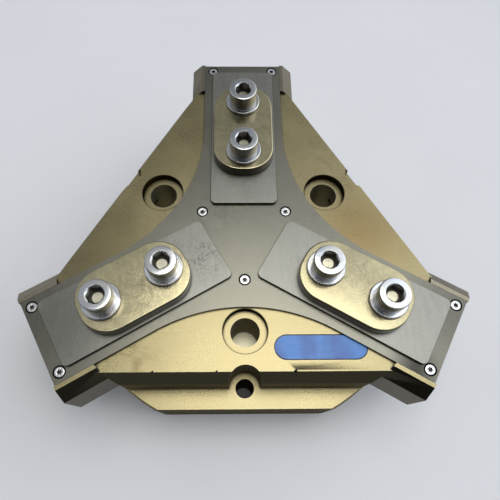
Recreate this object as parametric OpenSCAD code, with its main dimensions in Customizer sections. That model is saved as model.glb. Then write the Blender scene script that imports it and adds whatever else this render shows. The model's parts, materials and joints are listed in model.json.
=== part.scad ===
// Three jaw centric gripper: a pneumatic cylinder drives three jaws through a wedge hook.
// Origin: on the gripper axis, in the mounting face of the base. +Z runs up to the jaws.
// Jaw a points to +Y. Jaws b and c follow at 120 degree steps, anticlockwise from above.
// All pieces are drawn with the jaws at mid stroke.

/* [Body] */
// Height from the mounting face to the top face of the body
body_h = 78; // [76:0.5:82]
// Thickness of the star block, from the top face to the underside of the arms
star_t = 31; // [30.5:0.5:33]
// Radius of the round base
base_r = 103.5; // [102:0.5:106]
// Distance from the axis to the three flats on the round base
flat_d = 90.8; // [89.8:0.2:94]
// Distance from the axis to the side walls of the star block
side_d = 80; // [79:0.5:82]
// Size of the 45 degree bevel along the top of the side walls
side_bevel = 5; // [3:0.5:6]
// Chamfer round the mounting face and the rim of the base
base_edge = 1; // [0.5:0.25:2]

/* [Arms] */
// Radius at the outer end of the arms
arm_r = 122; // [121:0.5:126]
// Width across an arm
arm_w = 65; // [64:0.5:68]
// Size of the 45 degree bevel along the arms
arm_bevel = 6.2; // [5.5:0.1:6.8]
// Radius at which the raised ledges beside the cover start
ledge_r = 101; // [99:0.5:104]
// Slant of the inner end of a ledge, measured along the arm
ledge_slant = 2.4; // [1:0.2:3]
// Radius at which the side of an arm meets its relief facet
relief_r = 98.5; // [97:0.5:100]
// Distance from the arm centreline to the far corner of the facet
relief_w = 37; // [36:0.5:39]

/* [Star cover] */
// Thickness of the star cover
cover_t = 2; // [1.8:0.1:2.5]
// Width of an arm of the star cover
cover_w = 48; // [47:0.5:49]
// Radius of the concave edges between the arms of the cover
cover_arc = 94; // [90:1:100]
// Distance of the cover end back from the end of the body arm
cover_end_gap = 0.8; // [0.3:0.1:1.2]
// Gap between the cover and the ledges beside it
cover_gap = 0.15; // [0.1:0.05:0.3]
// Radius of the circle of inner cover screws
inner_screw_r = 27.3; // [26.5:0.1:29]
// Distance of the outer cover screws back from the arm end
outer_screw_inset = 5.1; // [4.9:0.1:5.6]
// Distance between the two outer cover screws of an arm
outer_screw_gap = 38; // [37.6:0.2:39]

/* [Cylinder] */
// Bore of the cylinder
cyl_d = 90; // [88:0.5:92]
// Thickness of the piston
piston_t = 11; // [10:0.5:11.5]
// Diameter of the piston rod
rod_d = 22; // [20:0.5:23]
// Free travel left at each end of the piston stroke
piston_end_gap = 0.3; // [0.2:0.05:0.5]
// Thickness of the cylinder cover
cyl_cover_t = 7; // [6.5:0.5:7.5]
// Width of the cover rim outside the bore
cyl_rim = 13; // [12.5:0.5:15]
// Distance of the cylinder cover screws outside the bore
cyl_screw_out = 8; // [7.8:0.1:8.5]
// Diameter of the air ports
port_d = 8.8; // [8:0.2:9.6]
// Depth of the air ports
port_depth = 12; // [10:0.5:14]
// Distance of an air port from the middle of its flat
port_side = 25; // [22:0.5:27]
// Diameter of the drillings from the ports into the cylinder
drill_d = 3; // [2:0.25:3.5]

/* [Wedge hook] */
// Angle of the wedge faces from the axis
wedge_angle = 45; // [43:1:46]
// Height of the hook pocket floor above the mounting face
pocket_z = 44; // [43:0.5:45]
// Width of the hook arms
hook_w = 21; // [20:0.5:21.5]
// Radius of the hook between its arms
hook_core_r = 16; // [14:0.5:17]
// Width of the T head
tee_w = 16; // [15:0.5:16.5]
// Thickness of the T head
tee_t = 4.5; // [4:0.25:5]
// Width of the T neck
tee_neck_w = 10; // [9:0.5:11]
// Length of the T neck
tee_neck_t = 3.5; // [3:0.25:4]
// Clearance of the T head in its slot
tee_fit = 0.05; // [0.03:0.01:0.08]

/* [Base jaws] */
// Stroke of each jaw, from closed to open
jaw_stroke = 16; // [14:0.5:16]
// Radius of the jaw centre at mid stroke
jaw_r = 66; // [66:0.25:67]
// Distance from the jaw centre to the outer end of the base jaw
jaw_tail = 33; // [32:0.5:36]
// Width of the base jaw between its guide teeth
guide_w = 26; // [25.5:0.25:26.5]
// Width of the nose of the base jaw
nose_w = 24.6; // [24:0.2:25]
// Number of guide teeth on each side
tooth_n = 3; // [2:1:3]
// Height of one guide tooth at its root
tooth_h = 5; // [4:0.25:5.5]
// Depth of one guide tooth
tooth_d = 2.5; // [2:0.25:2.75]
// Clearance of the base jaw in its guide
guide_fit = 0.05; // [0.03:0.01:0.08]
// Length of the neck that passes through the cover window
neck_l = 52; // [51:0.5:53]
// Width of that neck
neck_w = 22; // [20:0.5:23]

/* [Plates and adapters] */
// Length of the slide plate
plate_l = 96; // [95:0.5:96]
// Width of the slide plate
plate_w = 38; // [37:0.5:38]
// Thickness of the slide plate
plate_t = 2; // [1.5:0.25:2.5]
// Corner radius of the slide plate
plate_corner = 3; // [2.5:0.25:4]
// Running gap between the slide plate and the star cover
plate_gap = 0.15; // [0.1:0.05:0.3]
// Length of the jaw adapter
adapter_l = 60; // [58:0.5:62]
// Width of the jaw adapter
adapter_w = 35; // [34:0.5:36]
// Thickness of the jaw adapter
adapter_t = 7; // [6.5:0.5:9]
// Corner radius of the jaw adapter
adapter_corner = 15.5; // [14:0.5:16.5]
// Chamfer along the edges of the jaw adapter
adapter_edge = 0.5; // [0.3:0.1:0.8]

/* [Bolts and sleeves] */
// Distance between the two bolts of a jaw
bolt_gap = 35; // [34.5:0.5:36]
// Thread diameter of the jaw bolts
bolt_d = 10; // [9.5:0.25:10.5]
// Length of a jaw bolt under its head
bolt_l = 25; // [22:1:26]
// Head diameter of the jaw bolts
bolt_head_d = 16; // [15.5:0.25:17]
// Head height of the jaw bolts
bolt_head_h = 10; // [9:0.5:11]
// Width across flats of the bolt socket
bolt_key = 8; // [7:0.5:8.5]
// Washer diameter
washer_d = 20; // [18.5:0.5:20.5]
// Washer thickness
washer_t = 2; // [1.5:0.25:2.5]
// Outer diameter of the centring sleeves
sleeve_d = 14; // [13:0.25:14.5]
// Length of the centring sleeves
sleeve_l = 8; // [7:0.5:8]

/* [Holes in the body] */
// Radius of the circle of flange holes
flange_hole_r = 80; // [79:0.25:81]
// Diameter of the flange holes
flange_hole_d = 10.5; // [9:0.25:11.5]
// Diameter of the clearance for the flange screw heads
flange_spot_d = 17; // [16:0.25:18]
// Depth of the spot face under a flange screw head
flange_spot_depth = 0.3; // [0.1:0.1:1]
// Radius of the circle of top bores
top_bore_r = 54.5; // [54.2:0.1:55.5]
// Diameter of the top bores
top_bore_d = 15.6; // [14:0.2:16]
// Depth of the top bores below the top face
top_bore_depth = 35.6; // [30:0.2:38]
// Diameter of the recess round a top bore
top_recess_d = 23.5; // [22:0.25:24]
// Depth of that recess
top_recess_depth = 4.2; // [3:0.2:5]
// Diameter of the cross hole from a top bore to the outside
cross_hole_d = 3; // [2:0.25:4]
// Depth of the cross hole below the top face
cross_hole_depth = 18; // [15:0.5:22]
// Diameter of the two dowel holes in the mounting face
dowel_d = 8; // [6:0.5:9]
// Depth of the dowel holes
dowel_depth = 10; // [8:0.5:14]

/* [Label] */
// Length of the plain label
label_l = 48; // [44:0.5:50]
// Width of the plain label
label_w = 13; // [11:0.5:13.5]
// Depth to which the label is let into the top face
label_t = 0.5; // [0.3:0.1:0.8]

/* [Hidden] */
$fn = 96;

// Overlap of cutters past the faces they cut
eps = 0.5;
// Directions of the arms, and of the side walls between them
arm_dirs = [90, 210, 330];
wall_dirs = [270, 30, 150];

// Heights, from the mounting face up
top_z = body_h;
star_z = top_z - star_t;
// The top of the base laps the star block by this much
base_lap = 0.4;
base_top_z = star_z + base_lap;
cover_top_z = top_z + cover_t;
plate_z = cover_top_z + plate_gap;
adapter_z = plate_z + plate_t;
washer_z = adapter_z + adapter_t;
head_z = washer_z + washer_t;

// Guide channel and base jaw
travel = jaw_stroke / 2;
channel_floor_t = 4;
channel_z = star_z + channel_floor_t;
jaw_z0 = channel_z + 0.2;
jaw_z1 = top_z - 0.3;
jaw_end_r = jaw_r + jaw_tail;
tooth_pitch = (jaw_z1 - jaw_z0) / tooth_n;
tooth_slope = 1;
tip_w = guide_w + 2 * tooth_d;
nose_gap = 0.3;
nose_l = 11;
nose_taper = 4;
neck_corner = 4;

// Cover window and the frame seal let in round it
window_gap = 0.4;
window_l = neck_l + jaw_stroke + 2 * window_gap;
window_w = neck_w + 2 * window_gap;
window_corner = neck_corner + window_gap;
seal_inset = 1.2;
seal_w = 2;
seal_depth = 1.2;
seal_gap = 0.05;

// Piston and cylinder
piston_stroke = jaw_stroke / tan(wedge_angle);
piston_travel = piston_stroke / 2;
chamber_z = cyl_cover_t + piston_t + piston_stroke + 2 * piston_end_gap;
piston_z = cyl_cover_t + piston_end_gap + piston_travel;
piston_fit = 0.05;
piston_edge = 1.2;
rod_fit = 0.05;
rod_spigot_r = rod_d / 2 - 3;
rod_spigot_h = 2;

// Wedge hook. Its wedge planes pass through wedge_r at the middle of its height
hook_end_gap = 0.4;
hook_face_gap = 0.15;
hook_h = top_z - pocket_z - piston_stroke - 2 * hook_end_gap;
hook_z0 = pocket_z + hook_end_gap + piston_travel;
hook_z1 = hook_z0 + hook_h;
hook_mid_z = (hook_z0 + hook_z1) / 2;
wedge_slope = tan(wedge_angle);
nose_r = travel + nose_w / 2 / tan(60) + nose_gap;
wedge_r = nose_r + (jaw_z1 - hook_mid_z) * wedge_slope;
tee_reach = (tee_neck_t + tee_t) / cos(wedge_angle);
pocket_gap = 0.7;
pocket_r = wedge_r + hook_h / 2 * wedge_slope + tee_reach + pocket_gap;
pocket_w = hook_w + 2 * pocket_gap;
pocket_core_r = hook_core_r + pocket_gap;

// Seals and rings
ring_fit = 0.03;
groove_fit = 0.1;
piston_seal_w = 3;
piston_seal_h = 2.6;
piston_seal_z = piston_z + piston_t * 0.6;
guide_ring_w = 1.6;
guide_ring_h = 3;
guide_ring_z = piston_z + piston_t * 0.15;
rod_seal_d = 2;
rod_seal_z = (chamber_z + pocket_z) / 2;
cyl_seal_d = 1.8;
cyl_seal_r = cyl_d / 2 + 2;

// Screws: thread diameter, head diameter, head height, key size and length under the head
cover_screw = [3, 5.6, 0.3, 2, 7];
end_screw = [3, 5.5, 1.9, 2, 7];
cyl_screw = [4, 7, 4, 3, 9.5];
hook_screw_size = [8, 13, 8, 6, 26];
jaw_bolt = [bolt_d, bolt_head_d, bolt_head_h, bolt_key, bolt_l];
thread_fit = 0.05;
hole_fit = 0.2;
thread_spare = 1.5;
cover_screw_sink = 0.1;
cyl_screw_n = 6;
cyl_screw_turn = 30;
cyl_screw_head_z = 4.3;

// End covers, and the places of their screws up from the underside of the arm
end_cover_t = 3;
end_cover_w = 47;
end_cover_lip = 2;
end_cover_gap = 0.1;
end_screw_gap = 39;
end_screw_rows = [7, 19];
end_screw_sink = 2;

// Air ports, in the third side flat, and dowel holes
port_off = 3;
drill_low_z = cyl_cover_t + 0.5 + drill_d / 2;
drill_high_z = chamber_z - 0.1 - drill_d / 2;
dowel_x = 40;
dowel_y = 62;

// Centring sleeves stand this far in the base jaws
sleeve_seat = 4;
sleeve_fit = 0.02;
bolt_hole_fit = 0.25;

// Middle of the label on the front part of the top face
label_x = 38.6;
label_y = -63;
label_gap = 0.1;

// Runs its children once for each arm, with +X along the arm
module each_arm() {
  for (dir = arm_dirs) rotate(dir) children();
}

// Runs its children once for each side wall, with +X out through the wall
module each_wall() {
  for (dir = wall_dirs) rotate(dir) children();
}

// Extrudes a section drawn across the arm (x) and up (y) along the arm
module along_arm(from, to) {
  translate([from, 0, 0]) rotate([90, 0, 90]) linear_extrude(to - from) children();
}

// Extrudes a side view drawn along the arm (x) and up (y) over a width across the arm
module across_arm(width) {
  rotate([90, 0, 0]) linear_extrude(width, center = true) children();
}

// Disc with a 45 degree chamfer at both ends
module chamfered_disc(radius, height, edge) {
  rotate_extrude() polygon([[0, 0], [radius - edge, 0], [radius, edge],
    [radius, height - edge], [radius - edge, height], [0, height]]);
}

// Ring of rectangular section
module flat_ring(outer_r, width, height) {
  rotate_extrude() translate([outer_r - width, 0]) square([width, height]);
}

// Plate with round corners, centred on the axis, with its edges chamfered
module round_plate(length, width, height, corner, edge = 0) {
  run = length / 2 - corner;
  side_run = width / 2 - corner;
  for (x = [-run, run], y = [-side_run, side_run]) translate([x, y, 0]) chamfered_disc(corner, height, edge);
  along_arm(-run, run) plate_section(width, height, edge);
  across_arm(2 * side_run) plate_section(length, height, edge);
}

// Section of a plate with chamfered edges
module plate_section(width, height, edge) {
  polygon([[edge - width / 2, 0], [width / 2 - edge, 0], [width / 2, edge], [width / 2, height - edge],
    [width / 2 - edge, height], [edge - width / 2, height], [-width / 2, height - edge], [-width / 2, edge]]);
}

// Tapped hole that runs down from z = 0
module tapped(diameter, depth) {
  hole_r = diameter / 2 + thread_fit;
  translate([0, 0, -depth]) cylinder(depth + eps, hole_r, hole_r, $fn = 48);
}

// Round hole centred on z = 0, long enough for any plate
module through(diameter, length) {
  cylinder(length + 2 * eps, diameter / 2, diameter / 2, center = true, $fn = 48);
}

// Socket head screw, with the underside of its head at z = 0
module socket_screw(size) {
  edge = size[1] * 0.05;
  tip = size[0] * 0.08;
  socket_h = size[2] / 2;
  key_r = size[3] / 2 / cos(30);
  difference() {
    union() {
      rotate_extrude() polygon([[0, 0], [size[1] / 2 - edge / 2, 0], [size[1] / 2, edge / 2],
        [size[1] / 2, size[2] - edge], [size[1] / 2 - edge, size[2]], [0, size[2]]]);
      rotate_extrude() polygon([[0, eps], [size[0] / 2, eps], [size[0] / 2, tip - size[4]],
        [size[0] / 2 - tip, -size[4]], [0, -size[4]]]);
    }
    translate([0, 0, socket_h]) cylinder(socket_h + eps, key_r, key_r, $fn = 6);
    translate([0, 0, socket_h - size[3] * 0.14]) cylinder(size[3] * 0.15, 0, size[3] * 0.42, $fn = 48);
  }
}

// Countersunk screw with a six-lobe socket, with the top of its head at z = 0
module sunk_screw(size) {
  cone_h = (size[1] - size[0]) / 2;
  socket_h = cone_h * 0.7;
  lobe_r = size[1] * 0.07;
  difference() {
    rotate_extrude() polygon([[0, 0], [size[1] / 2, 0], [size[1] / 2, -size[2]],
      [size[0] / 2, -size[2] - cone_h], [size[0] / 2, -size[4]], [0, -size[4]]]);
    translate([0, 0, -socket_h]) cylinder(socket_h + eps, size[3] / 2, size[3] / 2, $fn = 48);
    for (i = [0:5]) rotate(i * 60) translate([size[3] / 2, 0, -socket_h])
      cylinder(socket_h + eps, lobe_r, lobe_r, $fn = 24);
  }
}

// Hole and countersink for such a screw
module sunk_hole(size) {
  cone_r = size[1] / 2 + 0.5;
  translate([0, 0, -size[2]]) cylinder(size[2] + eps, cone_r, cone_r);
  translate([0, 0, -size[2] - cone_r]) cylinder(cone_r, 0, cone_r);
  through(size[0] + 2 * hole_fit, 4 * cover_t);
}

// Side view of the guide teeth on one side of a base jaw, grown by gap
function tooth_side(gap) = [
  for (i = [0:tooth_n - 1])
    let (z = jaw_z0 + (i + 0.5) * tooth_pitch)
      each [
        [guide_w / 2 + gap, z - tooth_h / 2 - gap],
        [tip_w / 2 + gap, z - tooth_h / 2 + tooth_slope - gap],
        [tip_w / 2 + gap, z + tooth_h / 2 - tooth_slope + gap],
        [guide_w / 2 + gap, z + tooth_h / 2 + gap]
      ]
];

// Section of the toothed guide, from the height low to the height high
function guide_section(gap, low, high) = let (side = tooth_side(gap), n = len(side)) concat(
  [[guide_w / 2 + gap, low]],
  side,
  [[guide_w / 2 + gap, high], [-guide_w / 2 - gap, high]],
  [for (i = [n - 1:-1:0]) [-side[i][0], side[i][1]]],
  [[-guide_w / 2 - gap, low]]
);

// T bar along the wedge plane of an arm, grown by gap
module tee_bar(gap, length) {
  root = 1;
  head = tee_neck_t + tee_t + gap;
  translate([wedge_r, 0, hook_mid_z]) rotate([0, -wedge_angle, 0]) linear_extrude(length, center = true)
    polygon([
      [-root, -tee_neck_w / 2 - gap], [tee_neck_t - gap, -tee_neck_w / 2 - gap],
      [tee_neck_t - gap, -tee_w / 2 - gap], [head, -tee_w / 2 - gap],
      [head, tee_w / 2 + gap], [tee_neck_t - gap, tee_w / 2 + gap],
      [tee_neck_t - gap, tee_neck_w / 2 + gap], [-root, tee_neck_w / 2 + gap]
    ]);
}

// Places its children at each screw of the star cover
module each_cover_screw() {
  each_wall() translate([inner_screw_r, 0, 0]) children();
  each_arm() for (side = [-1, 1])
    translate([arm_r - outer_screw_inset, side * outer_screw_gap / 2, 0]) children();
}

// Places its children at each end cover screw, with +Z out of the arm end
module each_end_screw() {
  each_arm() for (side = [-1, 1], row = end_screw_rows)
    translate([arm_r - end_screw_sink, side * end_screw_gap / 2, star_z + row]) rotate([0, 90, 0]) children();
}

// Places its children at each cylinder cover screw, with +Z down out of the mounting face
module each_cylinder_screw() {
  for (i = [0:cyl_screw_n - 1]) rotate(cyl_screw_turn + i * 360 / cyl_screw_n)
    translate([cyl_d / 2 + cyl_screw_out, 0, cyl_screw_head_z]) mirror([0, 0, 1]) children();
}

// Places its children at the two bolts of jaw i
module each_bolt(i) {
  rotate(arm_dirs[i]) for (side = [-1, 1])
    translate([jaw_r + side * bolt_gap / 2, 0, 0]) children();
}

// Stadium outline of the label, grown by gap
module label_block(gap, height) {
  radius = label_w / 2 + gap;
  run = (label_l - label_w) / 2;
  translate([-run, -radius, 0]) cube([2 * run, 2 * radius, height]);
  for (side = [-1, 1]) translate([side * run, 0, 0]) cylinder(height, radius, radius);
}

// Polygon that repeats the corners of one arm, given as distances along and across it
module star_polygon(corners) {
  polygon([for (dir = arm_dirs, p = corners)
    [p[0] * cos(dir) - p[1] * sin(dir), p[0] * sin(dir) + p[1] * cos(dir)]]);
}

// Upright faces of the star block
module star_outline() {
  half = arm_w / 2;
  wall_end = (side_d - relief_w * sin(60)) / cos(60);
  star_polygon([[wall_end, -relief_w], [relief_r, -half], [arm_r, -half],
    [arm_r, half], [relief_r, half], [wall_end, relief_w]]);
}

// Everything inside one bevelled side wall
module wall_side() {
  across_arm(3 * arm_r) polygon([[-2 * arm_r, 0], [side_d, 0], [side_d, top_z - side_bevel],
    [side_d - side_bevel, top_z], [-2 * arm_r, top_z]]);
}

// Arm with its bevels, and with the raised ledges at its end
module body_arm() {
  half = arm_w / 2;
  low_ledge = half - arm_bevel;
  intersection() {
    along_arm(0, arm_r) polygon([[-half, star_z], [half, star_z], [half, cover_top_z - arm_bevel],
      [low_ledge, cover_top_z], [-low_ledge, cover_top_z], [-half, cover_top_z - arm_bevel]]);
    union() {
      translate([0, -arm_w, 0]) cube([arm_r, 2 * arm_w, top_z]);
      for (side = [-1, 1]) linear_extrude(cover_top_z) polygon([
        [ledge_r, side * (cover_w / 2 + cover_gap)], [ledge_r - ledge_slant, side * half],
        [arm_r, side * half], [arm_r, side * (cover_w / 2 + cover_gap)]
      ]);
    }
  }
}

// Star shaped upper block
module star_body() {
  intersection() {
    translate([0, 0, star_z]) linear_extrude(star_t + cover_t) star_outline();
    union() {
      intersection() {
        rotate(wall_dirs[0]) wall_side();
        rotate(wall_dirs[1]) wall_side();
        rotate(wall_dirs[2]) wall_side();
      }
      each_arm() body_arm();
    }
  }
}

// Everything inside one flat of the base
module flat_side() {
  translate([-2 * arm_r, -2 * arm_r, -eps]) cube([2 * arm_r + flat_d, 4 * arm_r, top_z]);
}

// Round base with its three flats
module base_body() {
  intersection() {
    chamfered_disc(base_r, base_top_z, base_edge);
    rotate(wall_dirs[0]) flat_side();
    rotate(wall_dirs[1]) flat_side();
    rotate(wall_dirs[2]) flat_side();
  }
}

// Guide channels, hook pocket, rod bore and cylinder
module drive_cuts() {
  seal_h = rod_seal_d + 2 * groove_fit;
  each_arm() {
    along_arm(0, arm_r) polygon(guide_section(guide_fit, channel_z, top_z + eps));
    translate([0, -pocket_w / 2, pocket_z]) cube([pocket_r, pocket_w, channel_z - pocket_z + eps]);
  }
  translate([0, 0, pocket_z]) cylinder(top_z - pocket_z + eps, pocket_core_r, pocket_core_r);
  cylinder(pocket_z + eps, rod_d / 2 + rod_fit, rod_d / 2 + rod_fit);
  translate([0, 0, rod_seal_z - seal_h / 2]) cylinder(seal_h, rod_d / 2 + rod_seal_d + groove_fit,
    rod_d / 2 + rod_seal_d + groove_fit);
  translate([0, 0, -eps]) cylinder(chamber_z + eps, cyl_d / 2, cyl_d / 2);
  translate([0, 0, -eps]) cylinder(cyl_cover_t + eps, cyl_d / 2 + cyl_rim, cyl_d / 2 + cyl_rim);
}

// Top bores with their recesses and cross holes, and flange holes with room for screw heads
module wall_cuts() {
  each_wall() {
    translate([top_bore_r, 0, top_z - top_bore_depth])
      cylinder(top_bore_depth + eps, top_bore_d / 2, top_bore_d / 2);
    translate([top_bore_r, 0, top_z - top_recess_depth])
      cylinder(top_recess_depth + eps, top_recess_d / 2, top_recess_d / 2);
    translate([top_bore_r, 0, top_z - cross_hole_depth]) rotate([0, 90, 0])
      cylinder(flange_hole_r - top_bore_r, cross_hole_d / 2, cross_hole_d / 2);
    translate([flange_hole_r, 0, -eps]) cylinder(base_top_z + 2 * eps, flange_hole_d / 2, flange_hole_d / 2);
    translate([flange_hole_r, 0, base_top_z - flange_spot_depth])
      cylinder(star_t, flange_spot_d / 2, flange_spot_d / 2);
  }
}

// One air port, drilled on into the cylinder at drill_z
module air_port(side, port_z, drill_z) {
  drill_from = cyl_d / 2 * cos(asin(2 * port_side / cyl_d)) - eps;
  translate([flat_d - port_depth, side * port_side, port_z]) rotate([0, 90, 0])
    cylinder(port_depth + eps, port_d / 2, port_d / 2);
  translate([drill_from, side * port_side, drill_z]) rotate([0, 90, 0])
    cylinder(flat_d - port_depth - drill_from + eps, drill_d / 2, drill_d / 2);
}

module housing() {
  color([0.62, 0.57, 0.40]) difference() {
    union() {
      star_body();
      base_body();
    }
    drive_cuts();
    wall_cuts();
    rotate(wall_dirs[2]) {
      air_port(1, drill_low_z + port_off, drill_low_z);
      air_port(-1, drill_high_z - port_off, drill_high_z);
    }
    for (side = [-1, 1]) translate([side * dowel_x, dowel_y, -eps])
      cylinder(dowel_depth + eps, dowel_d / 2, dowel_d / 2);
    translate([0, 0, cover_top_z]) each_cover_screw() tapped(cover_screw[0], cover_screw[4] + thread_spare);
    each_end_screw() tapped(end_screw[0], end_screw[4] + thread_spare);
    each_cylinder_screw() tapped(cyl_screw[0], cyl_screw[4] + thread_spare);
    each_arm() translate([arm_r - end_cover_t, -end_cover_w / 2 - end_cover_gap, star_z + end_cover_lip])
      cube([end_cover_t + eps, end_cover_w + 2 * end_cover_gap, star_t + cover_t]);
    translate([label_x, label_y, top_z - label_t]) label_block(label_gap, label_t + eps);
  }
}

// Cover window, grown by gap
module window_block(gap, height) {
  round_plate(window_l + 2 * gap, window_w + 2 * gap, height, window_corner + gap);
}

module star_cover() {
  half = cover_w / 2;
  end_r = arm_r - cover_end_gap;
  web_r = (half + cover_arc) / tan(60);
  arc_d = (half + cover_arc) / sin(60);
  arc_r = cover_arc + 0.05;
  corners = [[web_r, -half], [end_r, -half], [end_r, half], [web_r, half]];
  color([0.47, 0.46, 0.40]) translate([0, 0, top_z]) difference() {
    linear_extrude(cover_t) star_polygon(corners);
    each_wall() translate([arc_d, 0, -eps]) cylinder(cover_t + 2 * eps, arc_r, arc_r, $fn = 240);
    each_arm() translate([jaw_r, 0, 0]) {
      translate([0, 0, -eps]) window_block(0, cover_t + 2 * eps);
      translate([0, 0, cover_t - seal_depth]) difference() {
        window_block(seal_inset + seal_w + seal_gap, seal_depth + eps);
        translate([0, 0, -eps]) window_block(seal_inset - seal_gap, seal_depth + 3 * eps);
      }
    }
    translate([0, 0, cover_t - cover_screw_sink]) each_cover_screw() sunk_hole(cover_screw);
  }
}

module cover_screws() {
  color([0.75, 0.75, 0.76]) translate([0, 0, cover_top_z - cover_screw_sink])
    each_cover_screw() sunk_screw(cover_screw);
}

module label_plate() {
  color([0.25, 0.45, 0.80]) translate([label_x, label_y, top_z - label_t]) label_block(0, label_t);
}

// Cover that closes the guide channel at the end of arm i
module end_cover(i) {
  color([0.47, 0.46, 0.40]) difference() {
    rotate(arm_dirs[i])
      translate([arm_r - end_cover_t, -end_cover_w / 2, star_z + end_cover_lip + end_cover_gap])
        cube([end_cover_t, end_cover_w, star_t - end_cover_lip - 2 * end_cover_gap]);
    each_end_screw() {
      cylinder(end_screw_sink + eps, end_screw[1] / 2 + hole_fit, end_screw[1] / 2 + hole_fit, $fn = 48);
      through(end_screw[0] + 2 * hole_fit, 2 * end_cover_t);
    }
  }
}

module end_cover_screws() {
  color([0.75, 0.75, 0.76]) each_end_screw() socket_screw(end_screw);
}

// Rubber frame that wipes the slide plate round the cover window of arm i
module window_seal(i) {
  color([0.12, 0.12, 0.12]) rotate(arm_dirs[i]) translate([jaw_r, 0, cover_top_z - seal_depth]) difference() {
    window_block(seal_inset + seal_w, seal_depth + plate_gap - seal_gap);
    translate([0, 0, -eps]) window_block(seal_inset, seal_depth + 3 * eps);
  }
}

module cylinder_cover() {
  cover_edge = 0.6;
  groove_h = cyl_seal_d * 0.75;
  groove_w = cyl_seal_d + 2 * groove_fit;
  head_room = cyl_screw[1] / 2 + hole_fit;
  color([0.72, 0.73, 0.74]) difference() {
    chamfered_disc(cyl_d / 2 + cyl_rim - piston_fit, cyl_cover_t, cover_edge);
    translate([0, 0, cyl_cover_t - groove_h]) flat_ring(cyl_seal_r + groove_w / 2, groove_w, groove_h + eps);
    each_cylinder_screw() {
      cylinder(cyl_screw_head_z + eps, head_room, head_room, $fn = 48);
      through(cyl_screw[0] + 2 * hole_fit, 2 * cyl_cover_t);
    }
  }
}

// Face seal, pressed flat against the body
module cylinder_cover_seal() {
  seal_h = cyl_seal_d * 0.75;
  color([0.12, 0.12, 0.12]) rotate_extrude() translate([cyl_seal_r, cyl_cover_t - seal_h / 2])
    intersection() {
      circle(cyl_seal_d / 2, $fn = 48);
      square([2 * cyl_seal_d, seal_h], center = true);
    }
}

module cylinder_cover_screws() {
  color([0.75, 0.75, 0.76]) each_cylinder_screw() socket_screw(cyl_screw);
}

module rod_seal() {
  color([0.12, 0.12, 0.12]) rotate_extrude()
    translate([rod_d / 2 + rod_seal_d / 2 + ring_fit, rod_seal_z]) circle(rod_seal_d / 2, $fn = 48);
}

// Piston and rod, turned from one piece
module piston() {
  rod_top = hook_z0 - piston_z;
  color([0.72, 0.73, 0.74]) difference() {
    translate([0, 0, piston_z]) {
      chamfered_disc(cyl_d / 2 - piston_fit, piston_t, piston_edge);
      cylinder(rod_top, rod_d / 2, rod_d / 2);
      cylinder(rod_top + rod_spigot_h, rod_spigot_r, rod_spigot_r);
    }
    translate([0, 0, piston_seal_z]) flat_ring(cyl_d / 2 + eps, piston_seal_w + eps, piston_seal_h);
    translate([0, 0, guide_ring_z]) flat_ring(cyl_d / 2 + eps, guide_ring_w + eps, guide_ring_h);
    translate([0, 0, hook_head_z]) tapped(hook_screw_size[0], hook_screw_size[4] + thread_spare);
  }
}

module piston_seal() {
  color([0.12, 0.12, 0.12]) translate([0, 0, piston_seal_z + groove_fit])
    flat_ring(cyl_d / 2 - ring_fit, piston_seal_w - groove_fit, piston_seal_h - 2 * groove_fit);
}

module piston_guide_ring() {
  color([0.85, 0.84, 0.80]) translate([0, 0, guide_ring_z + groove_fit])
    flat_ring(cyl_d / 2 - ring_fit, guide_ring_w - groove_fit, guide_ring_h - 2 * groove_fit);
}

// Seat of the screw head inside the hook
hook_head_z = hook_z1 - hook_screw_size[2] - 0.5;

module wedge_hook() {
  face_r = wedge_r - hook_face_gap;
  run = hook_h * wedge_slope;
  head_room = hook_screw_size[1] / 2 + hole_fit;
  color([0.45, 0.46, 0.48]) difference() {
    intersection() {
      union() {
        cylinder(top_z, hook_core_r, hook_core_r);
        each_arm() {
          across_arm(hook_w) polygon([[0, hook_mid_z - hook_h], [face_r + run, hook_mid_z - hook_h],
            [face_r - run, hook_mid_z + hook_h], [0, hook_mid_z + hook_h]]);
          tee_bar(0, 4 * hook_h);
        }
      }
      translate([0, 0, hook_z0]) cylinder(hook_h, pocket_r, pocket_r);
    }
    translate([0, 0, hook_z0 - eps]) cylinder(rod_spigot_h + 2 * piston_fit + eps, rod_spigot_r + piston_fit,
      rod_spigot_r + piston_fit);
    translate([0, 0, hook_head_z]) cylinder(hook_h, head_room, head_room);
    translate([0, 0, hook_mid_z]) through(hook_screw_size[0] + 2 * hole_fit, hook_h);
  }
}

module hook_screw() {
  color([0.30, 0.30, 0.32]) translate([0, 0, hook_head_z]) socket_screw(hook_screw_size);
}

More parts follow.
